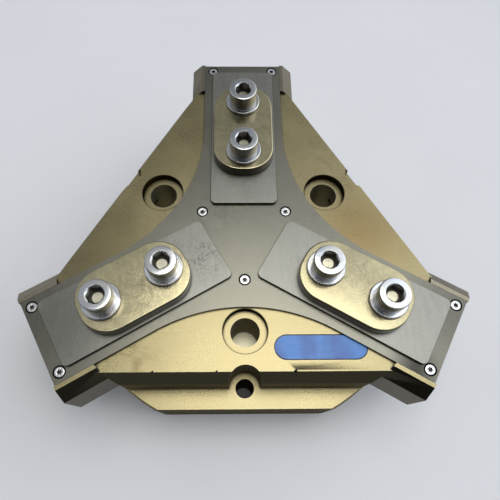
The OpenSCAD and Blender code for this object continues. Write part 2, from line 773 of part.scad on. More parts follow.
// Toothed base jaw of arm i, with a wedge nose and the slot for the T head
module base_jaw(i) {
  face_r = wedge_r + hook_face_gap;
  low_r = face_r + (hook_mid_z - jaw_z0) * wedge_slope;
  high_r = face_r - (jaw_z1 - hook_mid_z) * wedge_slope;
  shoulder_r = travel + nose_l;
  color([0.50, 0.51, 0.53]) difference() {
    rotate(arm_dirs[i]) {
      intersection() {
        along_arm(0, jaw_end_r) polygon(guide_section(0, jaw_z0, jaw_z1));
        across_arm(2 * tip_w)
          polygon([[low_r, jaw_z0], [jaw_end_r, jaw_z0], [jaw_end_r, jaw_z1], [high_r, jaw_z1]]);
        linear_extrude(top_z) polygon([
          [0, -nose_w / 2], [shoulder_r, -nose_w / 2], [shoulder_r + nose_taper, -tip_w], [jaw_end_r, -tip_w],
          [jaw_end_r, tip_w], [shoulder_r + nose_taper, tip_w], [shoulder_r, nose_w / 2], [0, nose_w / 2]
        ]);
      }
      translate([jaw_r, 0, jaw_z1 - eps]) round_plate(neck_l, neck_w, plate_z - jaw_z1 + eps, neck_corner);
    }
    rotate(arm_dirs[i]) tee_bar(tee_fit, 4 * hook_h);
    each_bolt(i) {
      translate([0, 0, head_z]) tapped(bolt_d, bolt_l + thread_spare);
      translate([0, 0, plate_z - sleeve_seat])
        cylinder(sleeve_l, sleeve_d / 2 + sleeve_fit, sleeve_d / 2 + sleeve_fit);
    }
  }
}

module slide_plate(i) {
  color([0.55, 0.55, 0.55]) difference() {
    rotate(arm_dirs[i]) translate([jaw_r, 0, plate_z]) round_plate(plate_l, plate_w, plate_t, plate_corner);
    each_bolt(i) translate([0, 0, plate_z]) through(sleeve_d + 2 * groove_fit, 2 * plate_t);
  }
}

module jaw_adapter(i) {
  seat_h = sleeve_l - sleeve_seat - plate_t + groove_fit;
  color([0.68, 0.63, 0.44]) difference() {
    rotate(arm_dirs[i]) translate([jaw_r, 0, adapter_z])
      round_plate(adapter_l, adapter_w, adapter_t, adapter_corner, adapter_edge);
    each_bolt(i) translate([0, 0, adapter_z]) {
      through(bolt_d + 2 * bolt_hole_fit, 2 * adapter_t);
      translate([0, 0, -eps]) cylinder(seat_h + eps, sleeve_d / 2 + sleeve_fit, sleeve_d / 2 + sleeve_fit);
    }
  }
}

module centring_sleeves(i) {
  color([0.75, 0.75, 0.76]) each_bolt(i) translate([0, 0, plate_z - sleeve_seat])
    flat_ring(sleeve_d / 2, (sleeve_d - bolt_d) / 2 - bolt_hole_fit, sleeve_l);
}

module washers(i) {
  washer_edge = 0.3;
  color([0.80, 0.80, 0.82]) each_bolt(i) translate([0, 0, washer_z]) difference() {
    chamfered_disc(washer_d / 2, washer_t, washer_edge);
    through(bolt_d + 2 * bolt_hole_fit, 2 * washer_t);
  }
}

module jaw_bolts(i) {
  color([0.80, 0.80, 0.82]) each_bolt(i) translate([0, 0, head_z]) socket_screw(jaw_bolt);
}

housing();
star_cover();
cover_screws();
label_plate();
end_cover(0);  // end_cover_a
end_cover(1);  // end_cover_b
end_cover(2);  // end_cover_c
end_cover_screws();
window_seal(0);  // window_seal_a
window_seal(1);  // window_seal_b
window_seal(2);  // window_seal_c
cylinder_cover();
cylinder_cover_seal();
cylinder_cover_screws();
rod_seal();
piston();
piston_seal();
piston_guide_ring();
wedge_hook();
hook_screw();
base_jaw(0);  // base_jaw_a
slide_plate(0);  // slide_plate_a
jaw_adapter(0);  // jaw_adapter_a
centring_sleeves(0);  // centring_sleeves_a
washers(0);  // washers_a
jaw_bolts(0);  // jaw_bolts_a
base_jaw(1);  // base_jaw_b
slide_plate(1);  // slide_plate_b
jaw_adapter(1);  // jaw_adapter_b
centring_sleeves(1);  // centring_sleeves_b
washers(1);  // washers_b
jaw_bolts(1);  // jaw_bolts_b
base_jaw(2);  // base_jaw_c
slide_plate(2);  // slide_plate_c
jaw_adapter(2);  // jaw_adapter_c
centring_sleeves(2);  // centring_sleeves_c
washers(2);  // washers_c
jaw_bolts(2);  // jaw_bolts_c
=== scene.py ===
import json
from math import cos, pi, radians, sin

import bpy
from mathutils import Matrix, Vector

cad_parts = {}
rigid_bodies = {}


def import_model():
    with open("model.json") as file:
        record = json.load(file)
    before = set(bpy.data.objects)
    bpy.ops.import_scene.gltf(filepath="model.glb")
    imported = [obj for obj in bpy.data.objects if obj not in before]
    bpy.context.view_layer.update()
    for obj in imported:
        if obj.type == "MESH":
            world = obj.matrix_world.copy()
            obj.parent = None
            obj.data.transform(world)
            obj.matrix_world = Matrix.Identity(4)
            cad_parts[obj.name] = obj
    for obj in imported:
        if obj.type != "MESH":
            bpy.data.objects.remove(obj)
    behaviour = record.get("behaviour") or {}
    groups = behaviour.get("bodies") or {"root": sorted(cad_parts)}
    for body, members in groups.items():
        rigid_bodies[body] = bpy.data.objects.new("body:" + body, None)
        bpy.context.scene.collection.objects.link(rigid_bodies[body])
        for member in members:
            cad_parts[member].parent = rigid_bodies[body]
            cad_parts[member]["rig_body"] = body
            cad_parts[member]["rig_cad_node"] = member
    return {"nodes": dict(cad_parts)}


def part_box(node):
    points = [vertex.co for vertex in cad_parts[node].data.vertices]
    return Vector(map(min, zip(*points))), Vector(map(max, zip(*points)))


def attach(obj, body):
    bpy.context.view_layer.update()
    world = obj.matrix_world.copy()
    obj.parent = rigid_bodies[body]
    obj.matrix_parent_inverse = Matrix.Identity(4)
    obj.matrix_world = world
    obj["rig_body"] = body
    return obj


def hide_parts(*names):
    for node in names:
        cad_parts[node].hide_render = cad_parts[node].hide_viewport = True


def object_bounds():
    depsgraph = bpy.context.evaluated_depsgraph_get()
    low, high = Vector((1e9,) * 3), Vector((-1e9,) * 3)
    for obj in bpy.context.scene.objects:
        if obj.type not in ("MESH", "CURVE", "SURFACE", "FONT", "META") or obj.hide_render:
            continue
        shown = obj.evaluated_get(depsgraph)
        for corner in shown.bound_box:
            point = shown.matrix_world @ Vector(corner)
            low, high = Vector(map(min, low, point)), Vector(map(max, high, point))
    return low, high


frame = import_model()
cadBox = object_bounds()
jaws = {"a": 90, "b": 210, "c": 330}  # where each jaw points, in degrees seen from above
plateTop = {jaw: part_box("slide_plate_" + jaw)[1].z for jaw in jaws}
washerTop = {jaw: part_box("washers_" + jaw)[1].z for jaw in jaws}
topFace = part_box("label_plate")[1].z
weld = 1e-6  # points closer than this become one
crease = radians(36)  # edges that turn by more than this stay sharp
level = radians(0.4)  # faces that turn by less than this become one
print("frame loaded")


# working in edit and object mode

def pick(piece):  # only this piece is selected and active
    bpy.ops.object.select_all(action="DESELECT")
    piece.select_set(True)
    bpy.context.view_layer.objects.active = piece


def edit(piece, mode="FACE"):  # with everything on the piece selected
    pick(piece)
    bpy.ops.object.mode_set(mode="EDIT")
    bpy.ops.mesh.select_mode(type=mode)
    bpy.ops.mesh.select_all(action="SELECT")


def leave():
    bpy.ops.object.mode_set(mode="OBJECT")


def paint(piece, finish):  # one finish all over
    piece.data.materials.clear()
    piece.data.materials.append(finish)


def paintFaces(piece, finish, test):  # another finish on the faces whose middle and normal pass the test
    piece.data.materials.append(finish)
    for face in piece.data.polygons:
        if test(face.center, face.normal):
            face.material_index = len(piece.data.materials) - 1


def smooth(piece):
    pick(piece)
    bpy.ops.object.shade_smooth_by_angle(angle=crease)


def softenEdges(piece, width, angle=38, segments=3):  # breaks the edges that turn by more than the angle
    bevel = piece.modifiers.new("edges", "BEVEL")
    bevel.limit_method = "ANGLE"
    bevel.angle_limit = radians(angle)
    bevel.width = width
    bevel.segments = segments
    bevel.miter_outer = "MITER_ARC"
    even = piece.modifiers.new("even", "WEIGHTED_NORMAL")
    even.keep_sharp = True
    pick(piece)
    bpy.ops.object.modifier_apply(modifier="edges")
    smooth(piece)
    bpy.ops.object.modifier_apply(modifier="even")


def machinedCopy(node, name, width=0):  # the node's own shape as one clean mesh, its edges broken to a width
    pick(frame["nodes"][node])
    bpy.ops.object.duplicate()
    piece = bpy.context.active_object
    bpy.ops.object.parent_clear(type="CLEAR_KEEP_TRANSFORM")
    piece.name = piece.data.name = name
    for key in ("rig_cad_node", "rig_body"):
        del piece[key]
    piece.data.materials.clear()
    bpy.ops.mesh.customdata_custom_splitnormals_clear()
    edit(piece)
    bpy.ops.mesh.remove_doubles(threshold=weld)
    bpy.ops.mesh.dissolve_limited(angle_limit=level)
    leave()
    if width:
        softenEdges(piece, width)
    else:
        smooth(piece)
    return piece


def turned(name, profile, steps):  # spins a list of (radius, height) points round Z
    bpy.ops.object.select_all(action="DESELECT")
    bpy.ops.mesh.primitive_plane_add(size=0.002, location=(0, 0, 0))
    piece = bpy.context.active_object
    piece.name = piece.data.name = name
    edit(piece, "VERT")
    bpy.ops.mesh.merge(type="CENTER")
    bpy.ops.transform.translate(value=(profile[0][0], 0, profile[0][1]))
    for (r0, z0), (r1, z1) in zip(profile, profile[1:]):
        bpy.ops.mesh.extrude_region_move(TRANSFORM_OT_translate={"value": (r1 - r0, 0, z1 - z0)})
    bpy.ops.mesh.select_all(action="SELECT")
    bpy.ops.mesh.spin(steps=steps, angle=2 * pi, center=(0, 0, 0), axis=(0, 0, 1))
    bpy.ops.mesh.select_all(action="SELECT")
    bpy.ops.mesh.remove_doubles(threshold=weld)
    bpy.ops.mesh.normals_make_consistent(inside=False)
    leave()
    return piece


def cutOut(piece, cutter):  # takes the cutter out of the piece and throws it away
    cut = piece.modifiers.new("cut", "BOOLEAN")
    cut.operation = "DIFFERENCE"
    cut.solver = "EXACT"
    cut.object = cutter
    pick(piece)
    bpy.ops.object.modifier_apply(modifier="cut")
    bpy.data.objects.remove(cutter)


def place(piece, name, spot, turn):  # a copy with its own mesh, set down at a spot and settled into its mesh
    pick(piece)
    bpy.ops.object.duplicate()
    copy = bpy.context.active_object
    copy.name = copy.data.name = name
    copy.location = spot
    copy.rotation_euler = (0, 0, turn)
    bpy.ops.object.transform_apply(location=True, rotation=True, scale=True)
    return copy


def joined(pieces, name):
    bpy.ops.object.select_all(action="DESELECT")
    for piece in pieces:
        piece.select_set(True)
    bpy.context.view_layer.objects.active = pieces[0]
    bpy.ops.object.join()
    pieces[0].name = pieces[0].data.name = name
    return pieces[0]


def dress(piece, finish, body, node):  # with no finish it keeps those that its faces already have
    if finish:
        paint(piece, finish)
    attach(piece, body)
    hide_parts(node)


def alongJaw(jaw, out, side=0, height=0):  # a point given along and across a jaw
    turn = radians(jaws[jaw])
    return Vector((out * cos(turn) - side * sin(turn), out * sin(turn) + side * cos(turn), height))


# the finishes

class nodeWork:  # a node tree, built step by step
    def __init__(self, tree):
        self.tree = tree
        self.tree.nodes.clear()

    def add(self, kind, **settings):
        node = self.tree.nodes.new(kind)
        for key, value in settings.items():
            setattr(node, key, value)
        return node

    def feed(self, socket, value):
        if isinstance(value, bpy.types.NodeSocket):
            self.tree.links.new(value, socket)
        else:
            socket.default_value = value

    def span(self, value, low, high, toLow=0, toHigh=1, soft=False):
        node = self.add("ShaderNodeMapRange", interpolation_type="SMOOTHSTEP" if soft else "LINEAR")
        self.feed(node.inputs["Value"], value)
        for key, number in (("From Min", low), ("From Max", high), ("To Min", toLow), ("To Max", toHigh)):
            node.inputs[key].default_value = number
        return node.outputs[0]

    def calc(self, how, *values):
        node = self.add("ShaderNodeMath", operation=how)
        for socket, value in zip(node.inputs, values):
            self.feed(socket, value)
        return node.outputs[0]


class look(nodeWork):  # one finish under construction
    def __init__(self, name):
        self.made = bpy.data.materials.new(name)
        self.made.use_nodes = True
        super().__init__(self.made.node_tree)
        out = self.add("ShaderNodeOutputMaterial")
        self.shader = self.add("ShaderNodeBsdfPrincipled")
        self.feed(out.inputs["Surface"], self.shader.outputs[0])
        self.coords = self.add("ShaderNodeTexCoord").outputs["Object"]

    def mapped(self, scale, turn=0, move=(0, 0, 0)):
        node = self.add("ShaderNodeMapping")
        self.feed(node.inputs["Vector"], self.coords)
        node.inputs["Location"].default_value = move
        node.inputs["Rotation"].default_value = (0, 0, turn)
        node.inputs["Scale"].default_value = scale
        return node.outputs[0]

    def noise(self, scale, detail=3, rough=0.55, vector=None, warp=0):
        node = self.add("ShaderNodeTexNoise")
        self.feed(node.inputs["Vector"], vector or self.coords)
        node.inputs["Scale"].default_value = scale
        node.inputs["Detail"].default_value = detail
        node.inputs["Roughness"].default_value = rough
        node.inputs["Distortion"].default_value = warp
        return node.outputs["Fac"]

    def blend(self, share, low, high):
        node = self.add("ShaderNodeMix", data_type="RGBA")
        self.feed(node.inputs["Factor"], share)
        for socket, value in ((node.inputs[6], low), (node.inputs[7], high)):
            self.feed(socket, value if isinstance(value, bpy.types.NodeSocket) else (*value, 1))
        return node.outputs[2]

    def tint(self, tone, mask, strength, colour):  # lays a colour over a tone where the mask is
        return self.blend(self.calc("MULTIPLY", mask, strength), tone, colour)

    def bump(self, height, depth, under=None):
        node = self.add("ShaderNodeBump")
        node.inputs["Strength"].default_value = 1
        node.inputs["Distance"].default_value = depth
        self.feed(node.inputs["Height"], height)
        if under:
            self.feed(node.inputs["Normal"], under)
        return node.outputs[0]

    def edgeMask(self, radius):  # 1 along the outer and inner edges
        rounded = self.add("ShaderNodeBevel", samples=6)
        rounded.inputs["Radius"].default_value = radius
        same = self.add("ShaderNodeVectorMath", operation="DOT_PRODUCT")
        self.feed(same.inputs[0], rounded.outputs[0])
        self.feed(same.inputs[1], self.add("ShaderNodeNewGeometry").outputs["Normal"])
        return self.span(same.outputs["Value"], 0.95, 0.65)

    def spotMask(self, spot, radius):  # 1 at a place on the piece, fading out to its radius
        node = self.add("ShaderNodeVectorMath", operation="DISTANCE")
        self.feed(node.inputs[0], self.coords)
        node.inputs[1].default_value = spot
        return self.span(node.outputs["Value"], 0, radius, 1, 0, soft=True)

    def wallMask(self, steep, flat):  # 1 on upright faces, 0 on level ones, which then get painted shade
        split = self.add("ShaderNodeSeparateXYZ")
        self.feed(split.inputs[0], self.add("ShaderNodeNewGeometry").outputs["Normal"])
        return self.span(self.calc("ABSOLUTE", split.outputs["Z"]), steep, flat, 1, 0, soft=True)

    def cornerShadeMask(self, reach, low, high):  # painted shade: 1 in the inner corners and where another part stands close
        node = self.add("ShaderNodeAmbientOcclusion", samples=8)
        node.inputs["Distance"].default_value = reach
        return self.span(node.outputs["AO"], low, high, 1, 0, soft=True)

    def ringMask(self, x, y, radius, width):  # 1 on a thin ring seen from above
        node = self.add("ShaderNodeVectorMath", operation="DISTANCE")
        self.feed(node.inputs[0], self.mapped((1, 1, 0)))
        node.inputs[1].default_value = (x, y, 0)
        off = self.calc("ABSOLUTE", self.calc("SUBTRACT", node.outputs["Value"], radius))
        return self.span(off, width * 0.5, width, 1, 0, soft=True)

    def finish(self, colour, rough, normal, metal=1.0, **fixed):
        self.feed(self.shader.inputs["Base Color"], colour)
        self.feed(self.shader.inputs["Roughness"], rough)
        self.feed(self.shader.inputs["Normal"], normal)
        self.shader.inputs["Metallic"].default_value = metal
        for key, value in fixed.items():
            self.shader.inputs[key].default_value = value
        return self.made


def blastedMetal(name, spec):  # blasted and anodised metal: grain, cloudy tone, machining lines, rubbed edges lightened also as a painted highlight, and painted shade on upright faces, in inner corners, in rings and in spots
    m = look(name)
    cloud = m.noise(spec["cloudScale"], 4, 0.6, warp=0.4)
    grain = m.noise(spec["grainScale"], 2, 0.7)
    lines = m.noise(1, 2, 0.6, m.mapped(spec["lineStretch"], spec["lineTurn"]))
    tone = m.blend(m.span(cloud, *spec["cloudSpan"]), spec["dark"], spec["light"])
    tone = m.blend(m.span(grain, *spec["grainSpan"], 0, spec["grainTone"]), tone, spec["fleck"])
    tone = m.blend(m.span(lines, *spec["lineSpan"], 0, spec["lineTone"]), tone, spec["dark"])
    for spot, radius, strength, scale in spec["stains"]:  # broken up by noise
        blotch = m.span(m.noise(scale, 5, 0.7, warp=1.2), *spec["stainSpan"])
        tone = m.tint(tone, m.calc("MULTIPLY", m.spotMask(spot, radius), blotch), strength, spec["stain"])
    # spots of painted shade, not broken up by noise
    for spot, radius, strength, colour in spec["soft"]:
        tone = m.tint(tone, m.spotMask(spot, radius), strength, spec[colour])
    # upright faces painted darker: painted shade
    wall = m.wallMask(*spec["wallSpan"])
    tone = m.tint(tone, wall, spec["wallTone"], spec["wall"])
    # edges rubbed down to the metal, lightened also as a painted highlight
    worn = m.span(m.noise(spec["edgeBreak"]), *spec["wornSpan"])
    edges = m.calc("MULTIPLY", m.edgeMask(spec["edgeWidth"]), worn)
    tone = m.tint(tone, edges, spec["edgeTone"], spec["bareAndHighlight"])
    # painted shade in the inner corners and where parts stand close
    tone = m.tint(tone, m.cornerShadeMask(*spec["cornerShade"]), spec["cornerShadeTone"], spec["shade"])
    # thin rings of painted shade at the bore recess edges and at the bore holes
    for x, y, radius, width in spec["rings"]:
        tone = m.tint(tone, m.ringMask(x, y, radius, width), spec["ringShadeTone"], spec["shade"])
    smoother, rougher = spec["roughCloud"]
    cloudRough = m.span(cloud, 0.3, 0.7, spec["rough"] + smoother, spec["rough"] + rougher)
    rough = m.calc("ADD", cloudRough, m.span(grain, 0.3, 0.7, *spec["roughGrain"]))
    rough = m.calc("ADD", rough, m.calc("MULTIPLY", wall, spec["wallRough"]))
    normal = m.bump(lines, spec["lineDepth"], m.bump(grain, spec["grainDepth"]))
    gloss = {"Coat Weight": spec["film"], "Coat Roughness": spec["filmRough"], "Specular Tint": spec["graze"]}
    return m.finish(tone, rough, normal, **gloss)


plainFinish = {  # what a blasted metal has unless its own finish says otherwise
    "stains": [],  # spot, radius, strength, scale
    "soft": [],  # spot, radius, strength, colour of a spot of painted shade
    "rings": [], "ringShadeTone": 0.85,  # x, y, radius, width of a thin ring of painted shade
    "cornerShade": (0.002, 0.35, 0.75), "cornerShadeTone": 0.8,  # reach, and how open a place is at most and at least, for the painted shade in corners
    "cloudSpan": (0.32, 0.68), "grainSpan": (0.3, 0.7), "lineSpan": (0.35, 0.7),  # the part of a noise used
    "stainSpan": (0.48, 0.62), "wornSpan": (0.35, 0.6),
    "roughCloud": (-0.03, 0.04), "roughGrain": (-0.04, 0.04),
    "lineTurn": 0, "wallRough": 0, "film": 0.0, "filmRough": 0.3,
    "graze": (1, 1, 1, 1),  # what is left of the gloss seen along the surface
}
# where the three top bores stand, and the radius and width of the rings of painted shade at their recess edge
# and their hole
bores = {"out": 0.0545, "turns": (30, 150, 270), "recess": (0.01178, 0.0004), "hole": (0.0074, 0.0003)}
boreTurns = [radians(turn) for turn in bores["turns"]]
boreSpots = [(bores["out"] * cos(turn), bores["out"] * sin(turn)) for turn in boreTurns]
goldFinish = {
    **plainFinish,
    "dark": (0.29, 0.245, 0.13), "light": (0.34, 0.29, 0.155), "fleck": (0.42, 0.365, 0.22),
    "bareAndHighlight": (0.72, 0.68, 0.55), "shade": (0.03, 0.025, 0.014),
    "wall": (0.13, 0.115, 0.08), "wallTone": 0.85, "wallSpan": (0.2, 0.85), "wallRough": 0.14,
    "cornerShade": (0.0025, 0.4, 0.8), "graze": (0.3, 0.28, 0.24, 1), "rough": 0.29,
    "cloudScale": 26, "grainScale": 2100, "grainTone": 0.35, "grainDepth": 0.00005,
    "lineStretch": (30, 900, 300), "lineTone": 0.22, "lineDepth": 0.00003,
    "edgeWidth": 0.0004, "edgeBreak": 240, "edgeTone": 0.85,
    "rings": [(*spot, *bores["recess"]) for spot in boreSpots],
    "stain": (0.13, 0.09, 0.04),
    "stains": [((-0.058, -0.066, 0.078), 0.022, 0.6, 50), ((0.055, 0.045, 0.078), 0.05, 0.2, 90)],
    # painted shade on the flanks: an orange-brown darker spot on the right and a darker spot on the left
    "warmShade": (0.21, 0.125, 0.042),
    "soft": [((0.066, 0.0, 0.078), 0.045, 0.5, "warmShade"), ((-0.085, -0.022, 0.078), 0.065, 0.4, "shade")],
}
boreLitFinish = {  # the walls and floors of the three top bores, painted far lighter than the gold: painted light
    **goldFinish, "stains": [], "soft": [],
    "dark": (0.72, 0.68, 0.50), "light": (0.82, 0.77, 0.58), "wall": (0.36, 0.34, 0.28), "wallTone": 0.8,
    "cornerShadeTone": 0.4, "edgeTone": 0.2, "rough": 0.4,
    "rings": [(*spot, *bores["hole"]) for spot in boreSpots],
}
ledgeFinish = {  # the sides of the arms and the strips beside the cover's ends
    **goldFinish, "stains": [], "soft": [], "rings": [],
    "dark": (0.24, 0.213, 0.155), "light": (0.28, 0.252, 0.188), "fleck": (0.34, 0.31, 0.24),
    "wall": (0.125, 0.118, 0.098), "edgeTone": 0.5, "graze": (0.75, 0.73, 0.7, 1),
}
frontBevelShadeFinish = {  # the long bevel at the front, painted near-black: painted shade
    **goldFinish, "stains": [], "soft": [], "rings": [],
    "dark": (0.056, 0.051, 0.034), "light": (0.063, 0.057, 0.038), "fleck": (0.09, 0.08, 0.055),
    "wallTone": 0.0,
}
coverFinish = {
    **plainFinish,
    "dark": (0.178, 0.171, 0.137), "light": (0.203, 0.196, 0.158), "fleck": (0.265, 0.257, 0.225),
    "bareAndHighlight": (0.46, 0.44, 0.39), "shade": (0.015, 0.014, 0.012),
    "wall": (0.03, 0.027, 0.02), "wallTone": 0.9, "wallSpan": (0.75, 0.97), "film": 0.2, "rough": 0.3,
    "cloudScale": 22, "grainScale": 2300, "grainTone": 0.35, "grainDepth": 0.00004,
    "lineStretch": (500, 40, 200), "lineTone": 0.2, "lineDepth": 0.00002,
    "edgeWidth": 0.00035, "edgeBreak": 260, "edgeTone": 0.15,
    "stain": (0.09, 0.08, 0.065),
    "stains": [((-0.02, 0.01, 0.08), 0.03, 0.2, 120)],
    # painted shade near the outer end of arm c, in two spots, and near the outer end of arm b
    "soft": [((0.0845, -0.0748, 0.08), 0.0175, 0.85, "shade"), ((0.108, -0.048, 0.08), 0.045, 0.4, "shade"),
             ((-0.098, -0.06, 0.08), 0.055, 0.35, "shade")],
}
endFinish = {
    **coverFinish, "stains": [], "soft": [],
    "dark": (0.15, 0.135, 0.105), "light": (0.20, 0.18, 0.14), "wallTone": 0.2, "edgeTone": 0.8,
}
plateFinish = {
    **plainFinish,
    "dark": (0.222, 0.22, 0.192), "light": (0.258, 0.256, 0.225), "fleck": (0.34, 0.338, 0.31),
    "bareAndHighlight": (0.55, 0.55, 0.55), "shade": (0.015, 0.014, 0.012), "stain": (0.10, 0.095, 0.085),
    "wall": (0.035, 0.032, 0.028), "wallTone": 0.9, "wallSpan": (0.5, 0.9), "rough": 0.36,
    "cloudScale": 40, "grainScale": 1200, "grainTone": 0.6, "grainDepth": 0.00005,
    "lineStretch": (550, 55, 200), "lineTone": 0.4, "lineDepth": 0.00002,
    "edgeWidth": 0.0003, "edgeBreak": 300, "edgeTone": 0.25,
}
adapterFinish = {
    **plainFinish,
    "dark": (0.34, 0.30, 0.183), "light": (0.425, 0.377, 0.224), "fleck": (0.54, 0.49, 0.32),
    "bareAndHighlight": (0.78, 0.74, 0.62), "shade": (0.03, 0.026, 0.018), "stain": (0.13, 0.12, 0.085),
    "wall": (0.045, 0.04, 0.028), "wallTone": 0.93, "wallSpan": (0.4, 0.8), "film": 0.1, "rough": 0.19,
    "cloudScale": 75, "grainScale": 1700, "grainTone": 0.4, "grainDepth": 0.00002,
    "lineStretch": (600, 90, 200), "lineTone": 0.15, "lineDepth": 0.000008,
    "edgeWidth": 0.0004, "edgeBreak": 260, "edgeTone": 0.5,
}


def zincPlate(name, spec):  # bright zinc with faint blue and straw tints
    m = look(name)
    film = m.noise(spec["tintScale"], 3, 0.6, warp=0.8)
    smear = m.noise(spec["smearScale"], 4, 0.65)
    tone = m.blend(m.span(film, 0.35, 0.65), spec["blue"], spec["straw"])
    tone = m.blend(m.span(smear, 0.55, 0.75, 0, spec["dullTone"]), tone, spec["dull"])
    # upright sides painted darker: painted shade
    tone = m.tint(tone, m.wallMask(0.15, 0.5), spec["wallTone"], spec["wall"])
    rough = m.span(smear, 0.35, 0.75, spec["rough"], spec["rough"] + 0.1)
    return m.finish(tone, rough, m.bump(m.noise(spec["grainScale"], 2, 0.6), spec["grainDepth"]))


zincFinish = {
    "blue": (0.62, 0.65, 0.69), "straw": (0.70, 0.68, 0.63), "dull": (0.40, 0.40, 0.41), "dullTone": 0.25,
    "wall": (0.24, 0.23, 0.23), "wallTone": 0.8, "tintScale": 140, "smearScale": 420, "rough": 0.13,
    "grainScale": 1600, "grainDepth": 0.00001,
}
# near-black zinc for socket sides, the six-lobe recesses, the nicks and the label seat: painted shade
recessShadeFinish = {
    **zincFinish, "blue": (0.05, 0.047, 0.043), "straw": (0.07, 0.062, 0.048), "dull": (0.03, 0.03, 0.03),
    "rough": 0.3,
}
recessFloorFinish = {
    **zincFinish, "blue": (0.50, 0.48, 0.38), "straw": (0.66, 0.62, 0.46), "dull": (0.2, 0.19, 0.15),
    "rough": 0.34, "wallTone": 0,
}
screwFinish = {**zincFinish, "tintScale": 300, "smearScale": 900, "dull": (0.35, 0.34, 0.32), "rough": 0.26}
steelFinish = {
    **zincFinish, "blue": (0.36, 0.37, 0.40), "straw": (0.42, 0.41, 0.39), "dull": (0.2, 0.2, 0.2),
    "rough": 0.3,
}
aluminiumFinish = {
    **zincFinish, "blue": (0.66, 0.67, 0.69), "straw": (0.72, 0.71, 0.69), "dull": (0.5, 0.5, 0.5),
    "rough": 0.3,
}


def softPlain(name, spec):  # rubber and plastic
    m = look(name)
    tone = m.blend(m.span(m.noise(spec["cloudScale"]), 0.3, 0.7), spec["dark"], spec["light"])
    grain = m.noise(spec["grainScale"], 2, 0.7)
    rough = m.span(grain, 0.3, 0.7, spec["rough"] - 0.06, spec["rough"] + 0.06)
    return m.finish(tone, rough, m.bump(grain, spec["grainDepth"]), metal=0.0)


rubberFinish = {
    "dark": (0.012, 0.012, 0.012), "light": (0.03, 0.03, 0.03), "cloudScale": 120, "grainScale": 1800,
    "grainDepth": 0.00004, "rough": 0.6,
}
ringFinish = {
    "dark": (0.62, 0.60, 0.52), "light": (0.72, 0.70, 0.62), "cloudScale": 90, "grainScale": 1500,
    "grainDepth": 0.00004, "rough": 0.42,
}


def labelFilm(name, spec):  # blue film under a clear coat
    m = look(name)
    cloud = m.noise(spec["cloudScale"], 3, 0.5, m.mapped((1.6, 0.7, 1)), warp=0.6)
    patch = m.noise(spec["patchScale"], 2, 0.5, m.mapped((1, 1, 1), move=(0.4, 0.2, 0)))
    scratch = m.noise(1, 3, 0.6, m.mapped(spec["scratchStretch"], spec["scratchTurn"]))
    tone = m.blend(m.span(cloud, 0.35, 0.62), spec["deep"], spec["pale"])
    # lighter sky-blue patches: painted sheen
    tone = m.blend(m.span(patch, 0.5, 0.75, 0, spec["skySheenTone"]), tone, spec["sky"])
    tone = m.blend(m.span(scratch, 0.66, 0.78, 0, spec["scratchTone"]), tone, spec["scratch"])
    rough = m.span(scratch, 0.4, 0.8, 0.3, 0.5)
    gloss = {"Coat Weight": spec["coat"], "Coat Roughness": spec["coatRough"]}
    normal = m.bump(m.noise(spec["grainScale"], 2, 0.5), spec["grainDepth"])
    return m.finish(tone, rough, normal, metal=spec["metal"], **gloss)


labelFinish = {
    # sky is the colour of the patches of painted sheen
    "deep": (0.015, 0.085, 0.36), "pale": (0.035, 0.19, 0.56), "sky": (0.085, 0.30, 0.72), "skySheenTone": 0.5,
    "scratch": (0.45, 0.6, 0.85), "scratchTone": 0.35, "scratchStretch": (160, 2600, 100), "scratchTurn": 0.3,
    "cloudScale": 55, "patchScale": 38, "grainScale": 700, "grainDepth": 0.00002,
    "metal": 0.1, "coat": 0.3, "coatRough": 0.25,
}

goldMetal = blastedMetal("goldAnodised", goldFinish)
boreLitMetal = blastedMetal("boreAnodisedPaintedLight", boreLitFinish)
ledgeMetal = blastedMetal("ledgeAnodised", ledgeFinish)
frontBevelShadeMetal = blastedMetal("bevelAnodisedPaintedShade", frontBevelShadeFinish)
coverMetal = blastedMetal("coverAnodised", coverFinish)
endMetal = blastedMetal("endCoverAnodised", endFinish)
zinc = zincPlate("brightZinc", zincFinish)
smallScrew = zincPlate("screwSteel", screwFinish)
recessShade = zincPlate("recessShade", recessShadeFinish)
recessFloor = zincPlate("recessFloor", recessFloorFinish)
hardSteel = zincPlate("hardSteel", steelFinish)
plainAluminium = zincPlate("turnedAluminium", aluminiumFinish)
rubber = softPlain("sealRubber", rubberFinish)
ringPlastic = softPlain("guideRingPlastic", ringFinish)
labelBlue = labelFilm("blueFilm", labelFinish)
print("looks made")


# the body

body = {
    "edge": 0.00022,
    "nicks": [(0.025, -0.0752, 0.0012), (-0.0145, -0.0751, 0.0009), (-0.0465, -0.0751, 0.0009)],  # x, y, size
    "nickTurn": (0, 45, 20), "nickStretch": (1, 1.6, 1),
    "bevelStart": 0.075, "bevelSlope": 1.75,  # the bevels over the side walls: upper edge, and down per out
    "armBevel": 0.0738, "notch": 0.0985,  # the height at which they meet an arm, and the arm's notch
    "near": 2e-5, "weld": 1e-5,
    "boreReach": 0.0081, "boreDepth": 0.005,  # from here on, which faces get another finish
    "ledgeOut": 0.0985, "ledgeSide": 0.0239, "armLow": 0.0475, "topLean": 0.9,
    "front": -0.06, "bevelDepth": 0.0095, "bevelLean": (0.3, 0.85), "bevelForward": -0.2,
    "nickReach": 1.3, "nickLean": 0.95, "seatGap": 1e-4,
}
outward = {jaw: alongJaw(jaw, 1) for jaw in jaws}
across = {jaw: alongJaw(jaw, 0, 1) for jaw in jaws}
seatLow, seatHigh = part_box("label_plate")


